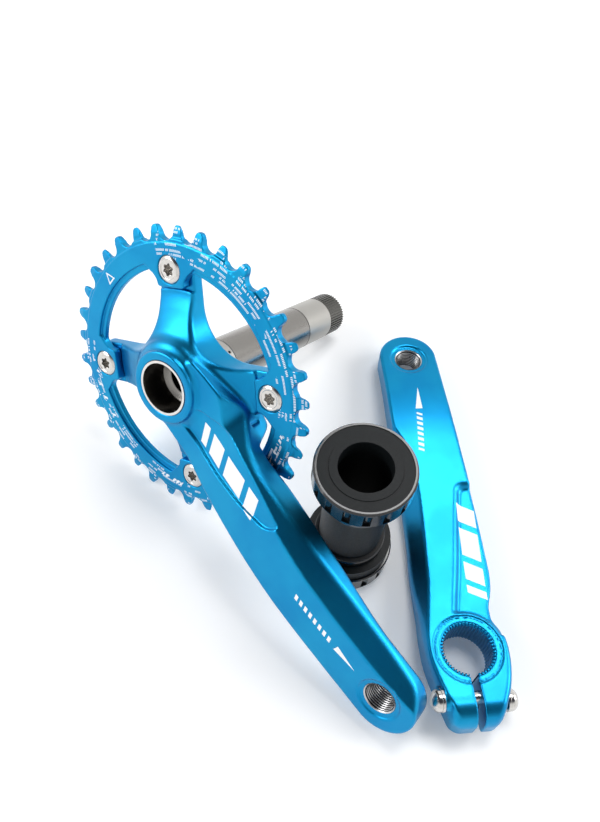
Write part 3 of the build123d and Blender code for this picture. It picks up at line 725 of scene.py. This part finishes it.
def chainring_shape(x, y, z):
    r = np.hypot(x, y)
    around = np.arctan2(y, x) - math.pi / 4
    pitch = 2 * math.pi / TEETH
    tooth = np.round(around / pitch)
    off = around - tooth * pitch
    gap = np.abs(off) - pitch / 2
    gap_x = r * np.cos(gap) - PITCH_R
    gap_y = r * np.sin(gap)
    round_gap = ROLLER_R - np.hypot(gap_x, gap_y)
    flank = (ROLLER_R - np.abs(gap_y) + gap_x * 0.42) / 1.08
    outline = np.where(gap_x > 0, flank, round_gap)
    outline = keep_both(outline, r - TIP_R, 1.0)
    half = np.where(np.mod(tooth, 2) == 1, WIDE_HALF, NARROW_HALF)
    tip_taper = np.maximum(r - 68.0, 0) * 0.22
    root = np.clip((66.4 - r) / 0.8, 0, 1)
    half = half + (WIDE_HALF - half) * root
    teeth_faces = np.abs(z) - (half - tip_taper)
    plate = np.maximum(z - 2.2, RING_BACK_Z - z)
    body = keep_both(outline, np.where(r > 64.0, teeth_faces, plate), 0.3)
    inner = 52.6 - r
    u, v = diagonals(x, y)
    far = np.maximum(np.abs(u), np.abs(v))
    near = np.minimum(np.abs(u), np.abs(v))
    half_tab = through(far, (0, 8.0), (44, 8.0), (47.5, 8.6), (52.6, 13.6), (56, 18), (80, 60))
    tab = keep_both(near - half_tab, 44 - far, 1.6) * 0.9
    rim = join(inner, tab, 1.5)
    ledge = np.maximum(np.maximum(r - 55.4, 0.8 - z), -(near - half_tab - 0.2))
    body = keep_both(body, rim, 0.35)
    body = cut(body, ledge, 0.3)
    for bu, bv in BOLT_PLACES:
        away = np.hypot(u - bu, v - bv)
        body = np.maximum(body, BOLT_HOLE_R - away)
        body = cut(body, np.maximum(away - 6.5, 0.45 - z), 0.15)
    return body


step = 0.36
lo, hi = (-73, -73, -2.7), (73, 73, 2.9)
points, faces = skin(chainring_shape(*block(lo, hi, step)), lo, step)
print("the ring has", TEETH, "teeth and", len(faces), "faces")

# %% [markdown]
# A laser has marked most of the ring with fine pale ticks and blocks. Here they are cells on a polar grid,
# filled or left by chance, inside broad patches. About a fifth of the ring stays plain, but for one small
# mark.

# %% Chainring finish
ring_blue = anodised("satin blue, chainring", 0.34)
x, y, z = ring_blue.local(drive)
around = ring_blue.maths("ARCTAN2", y, x) * (180 / math.pi)
r = (x * x + y * y).maths("SQRT")
face_on = ring_blue.looks_along(drive.to_3x3().col[2].normalized()).above(0.7)
ring_place = ring_blue.node("ShaderNodeCombineXYZ", {}, {0: x, 1: y, 2: 0.0}).outputs[0]


def tick_band(inner, outer, rows, columns, fill, slant, seed):
    """Rows of short ticks round the ring. Each row is split into words by chance."""
    band = (r - inner) * (rows / (outer - inner))
    lean = around * (columns / 360) + band.fract() * slant
    row = band.floor() + seed
    tick = lean.fract().below(0.58) * ring_blue.random(lean.floor() + 400, row).below(fill + 0.25)
    word = ring_blue.random((lean / 7).floor() + 60, row + 31).below(fill)
    return tick * word * band.fract().between(0.2, 0.8) * r.between(inner, outer)


patches = ring_blue.noise(0.11, 1.0, place=ring_place).above(0.44)
ticks = tick_band(56.4, 61.6, 3, 620, 0.62, 0.7, 3) + tick_band(62.4, 66.0, 2, 540, 0.6, -0.5, 17)
ticks = ticks + tick_band(66.2, 71.0, 3, 700, 0.45, 0.6, 41)
big = tick_band(57.5, 61.2, 1, 150, 0.3, 0.9, 71)
plain = around.between(141, 214) + around.between(-181, -146)
mark_x = (around - 176).size() * 1.02
mark_y = r - 57.4
mark = mark_y.between(0, 5.2) * (mark_x - (5.2 - mark_y) * 0.5).between(-0.55, 0.15)
mark = mark + mark_y.between(0, 0.7) * mark_x.below(2.6)
etched = (patches * (1 - plain) * ticks.maths("MAXIMUM", big) + mark) * face_on
etched = etched.maths("MINIMUM", 1.0) * 0.85
print_ink(ring_blue, etched)
mesh_piece("chainring_toothed", points, faces, drive, ring_blue, "drive_crank", ("chainring",),
           "blue_anodised")

# %% [markdown]
# The bolts are plated steel, turned and polished. They are skinned like the forgings, but on a very fine
# grid.

# %% Plated steel and ring bolts
PLATE = (0.60, 0.585, 0.56)
RING_BOLT_HEAD_R = 6.35
RING_BOLT_BACK_Z = -9.0
plated = Finish("bright plated steel", PLATE, metallic=1.0, roughness=0.2)
plated.set("Roughness", plated.noise(420, 3) * 0.16 + 0.12)
plated.bump(plated.noise(1200, 2), 0.03, 0.00004)


def ring_bolt(x, y, z):
    r = np.hypot(x, y)
    head = keep_both(r - RING_BOLT_HEAD_R, z - 2.7, 0.15)
    bevel = (r - RING_BOLT_HEAD_R + (z - 1.9) * 1.4) / 1.72
    head = keep_both(head, bevel, 0.2)
    around = np.arctan2(y, x)
    lobe = r - (2.55 + 0.42 * np.cos(6 * around))
    socket = keep_both(lobe, 0.2 - z, 0.1)
    dish = np.maximum(r - 4.3, 2.45 - z)
    head = cut(cut(head, dish, 0.12), socket, 0.15)
    shank = np.maximum(np.maximum(r - 4.0, z - 1), RING_BOLT_BACK_Z - z)
    body = np.minimum(np.maximum(head, 0.55 - z), shank)
    return np.maximum(body, -np.maximum(lobe, -3.0 - z))


step = 0.16
lo, hi = (-6.8, -6.8, -9.4), (6.8, 6.8, 3.0)
one, quads = skin(ring_bolt(*block(lo, hi, step)), lo, step)
every, all_quads = [], []
for k, angle in enumerate(np.radians((45, 135, 225, 315))):
    every.append(one + np.array((math.cos(angle) * BOLT_CIRCLE_R, math.sin(angle) * BOLT_CIRCLE_R, 0)))
    all_quads.append(quads + k * len(one))
mesh_piece("chainring_bolt_set", np.concatenate(every), np.concatenate(all_quads), drive, plated,
           "drive_crank", ("chainring_bolts",), "polished_steel")

# %% [markdown]
# The pinch bolts have smooth domed heads. A lathe is the right tool for these: one outline turned round the
# axis.

# %% Pinch bolts
def lathe_outline(outline, smooth=5):
    """The outline with short rounded corners, ready to turn."""
    pts = [np.array(p, float) for p in outline]
    out = [pts[0]]
    for a, b, c in zip(pts, pts[1:], pts[2:]):
        cut_back = min(0.16, 0.4 * np.linalg.norm(b - a), 0.4 * np.linalg.norm(c - b))
        start = b + (a - b) / np.linalg.norm(a - b) * cut_back
        end = b + (c - b) / np.linalg.norm(c - b) * cut_back
        for t in np.linspace(0, 1, smooth):
            out.append((1 - t) ** 2 * start + 2 * t * (1 - t) * b + t * t * end)
    return out + [pts[-1]]


def pinch_piece(name, outline, height, side, finish, body, stands_for):
    turns = np.radians(np.linspace(0, 360, 65)[:-1])
    rings = []
    for radius, along in lathe_outline(outline):
        rings.append(np.stack((PINCH_X + np.cos(turns) * radius, np.full_like(turns, along * side),
                               height + np.sin(turns) * radius * side), 1))
    sweep_round(name, rings, True, left, finish, body, stands_for=stands_for, slot="polished_steel")


dome = [(5.2 * math.cos(a), 17.6 + 3.55 * math.sin(a)) for a in np.radians((8, 22, 36, 50, 64, 78, 89.9))]
washer_top = 16.6
bolt_outline = [(0.01, -10.2), (2.6, -10.2), (3.0, -9.8), (3.0, washer_top), (5.2, washer_top), (5.2, 17.4)]
bolt_outline += dome
washer_outline = [(3.05, PINCH_SEAT), (5.4, PINCH_SEAT), (5.4, washer_top), (3.05, washer_top)]
washer_outline += washer_outline[:1]
for name, height, side in PINCH_BOLTS:
    pinch_piece(f"pinch_bolt_{name}_turned", bolt_outline, height, side, plated, f"pinch_bolt_{name}",
                (f"pinch_bolt_{name}",))
    pinch_piece(f"pinch_washer_{name}_turned", washer_outline, height, side, plated, f"pinch_washer_{name}",
                (f"pinch_washer_{name}",))

# %% [markdown]
# The spindle is turned and ground steel. Its two bearing seats are ground matt and pale, the tube between
# them is left darker with fine turning lines, and the splined end is darker still. Deep in the bore the
# colour is darkened as painted shade, and the rim at the outer end is paled as a painted highlight.
# Distance along the axis and from it tells the zones apart.

# %% Ground steel
STEEL = (0.34, 0.33, 0.31)
ground = Finish("ground steel", STEEL, metallic=1.0, roughness=0.3)
x, y, z = ground.local(drive)
off_axis = (x * x + y * y).maths("SQRT")
SPLINES_START = -115.5
seats = z.between(-26.5, -13.5) + z.between(SPLINES_START, -93)
along = ground.node("ShaderNodeCombineXYZ", {}, {0: z * 9, 1: 0.0, 2: 0.0}).outputs[0]
lines = ground.noise(1.0, 3.0, place=along)
# Painted shade: the colour is darkened inside the bore, where the hole is in shadow.
deep_bore_shade = off_axis.below(8.9) * z.below(1.0)
shade = ground.blend(seats, (0.26, 0.25, 0.235), (0.42, 0.41, 0.385))
shade = ground.blend(deep_bore_shade * 0.7, shade, (0.12, 0.118, 0.115))
shade = ground.blend(z.below(SPLINES_START), shade, (0.11, 0.108, 0.10))
# Painted highlight: the rim at the spindle's outer end is paled to look lit.
rim_highlight = off_axis.above(12.1) * z.above(14.6)
ground.set("Base Color", ground.blend(rim_highlight, shade, (0.66, 0.65, 0.63)))
ground.set("Roughness", lines * 0.2 + seats * 0.16 + 0.13)
ground.bump(lines, 0.08, 0.0001)
print(ground.material.name, "is ready")

# %% [markdown]
# The bottom bracket is black all over, but not all one black. The cups are glossy anodised aluminium, the
# covers, spacers and sleeve are moulded plastic with a fine spark-eroded grain, and the seals are rubber.

# %% Blacks
cup_black = Finish("gloss black anodising", (0.005, 0.006, 0.007), roughness=0.16, coat=0.2,
                   coat_roughness=0.06)
cup_black.set("Roughness", cup_black.noise(300, 3) * 0.1 + 0.13)
cup_black.bump(cup_black.noise(900, 2), 0.05, 0.0001)
plastic = Finish("matt black plastic", (0.008, 0.010, 0.011), roughness=0.5)
plastic.set("Specular IOR Level", 0.22)
plastic.set("Base Color", plastic.blend(plastic.noise(60, 3), (0.003, 0.0045, 0.0055), (0.006, 0.008, 0.009)))
plastic.set("Roughness", plastic.noise(1400, 2) * 0.2 + 0.38)
plastic.bump(plastic.noise(2200, 2), 0.2, 0.0001)
rubber = Finish("black rubber", (0.012, 0.012, 0.012), roughness=0.7)
rubber.set("Roughness", rubber.noise(700, 2) * 0.2 + 0.6)
cage = Finish("moulded cage plastic", (0.36, 0.30, 0.20), roughness=0.5)
cage.set("Roughness", cage.noise(500, 2) * 0.2 + 0.4)
bearing = Finish("bearing steel", (0.62, 0.62, 0.63), metallic=1.0, roughness=0.15)
bearing.set("Roughness", bearing.noise(500, 2) * 0.1 + 0.1)


def wear(finish, *names):
    for name in names:
        for slot in nodes[name].material_slots:
            slot.material = finish.material
    print(finish.material.name, "on", len(names), "pieces")


wear(ground, "spindle")
wear(plated, "chainring_nuts")
for level in ("lower", "upper"):
    wear(cup_black, f"bb_cup_{level}")
    wear(plastic, f"dust_cover_{level}", f"top_hat_bush_{level}")
    wear(rubber, f"seal_{level}")
    wear(cage, f"ball_cage_{level}")
    wear(bearing, f"outer_race_{level}", f"inner_race_{level}", f"balls_{level}")
wear(plastic, "bb_sleeve", "bb_spacers")
wear(rubber, "bb_o_rings")
